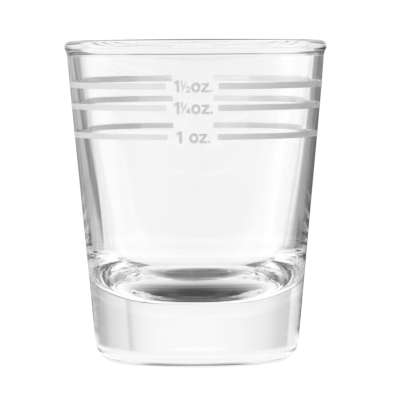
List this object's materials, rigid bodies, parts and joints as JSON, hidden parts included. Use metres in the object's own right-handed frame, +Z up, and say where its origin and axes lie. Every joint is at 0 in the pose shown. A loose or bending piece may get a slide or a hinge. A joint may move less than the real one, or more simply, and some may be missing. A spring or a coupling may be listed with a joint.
{
  "type": "measuring shot glass",
  "caption": "Clear pressed-glass measure with a tapered round wall, rim bead, round-cornered cup, thick solid base and printed enamel graduation rings.",
  "frame": {"origin": "on the glass's axis, in the plane that it stands on", "axes": "+Z up along the axis, from the base to the rim; the labels face -Y, with +X to the reader's right"},
  "size_m": [0.05, 0.05, 0.061],
  "materials": {
    "clear_glass": "clear fire-polished pressed glass",
    "enamel_print": "satin fired-on translucent white enamel"
  },
  "bodies": {
    "root": {"glass_body": "clear_glass", "label_1_half_oz_bar": "enamel_print", "label_1_half_oz_figure_1": "enamel_print", "label_1_half_oz_letter_o": "enamel_print", "label_1_half_oz_letter_z": "enamel_print", "label_1_half_oz_lower_2": "enamel_print", "label_1_half_oz_stop": "enamel_print", "label_1_half_oz_upper_1": "enamel_print", "label_1_oz_figure_1": "enamel_print", "label_1_oz_letter_o": "enamel_print", "label_1_oz_letter_z": "enamel_print", "label_1_oz_stop": "enamel_print", "label_1_quarter_oz_bar": "enamel_print", "label_1_quarter_oz_figure_1": "enamel_print", "label_1_quarter_oz_letter_o": "enamel_print", "label_1_quarter_oz_letter_z": "enamel_print", "label_1_quarter_oz_lower_4": "enamel_print", "label_1_quarter_oz_stop": "enamel_print", "label_1_quarter_oz_upper_1": "enamel_print", "line_1_half_oz_left": "enamel_print", "line_1_half_oz_right": "enamel_print", "line_1_oz_left": "enamel_print", "line_1_oz_right": "enamel_print", "line_1_quarter_oz_left": "enamel_print", "line_1_quarter_oz_right": "enamel_print"}
  },
  "joints": []
}
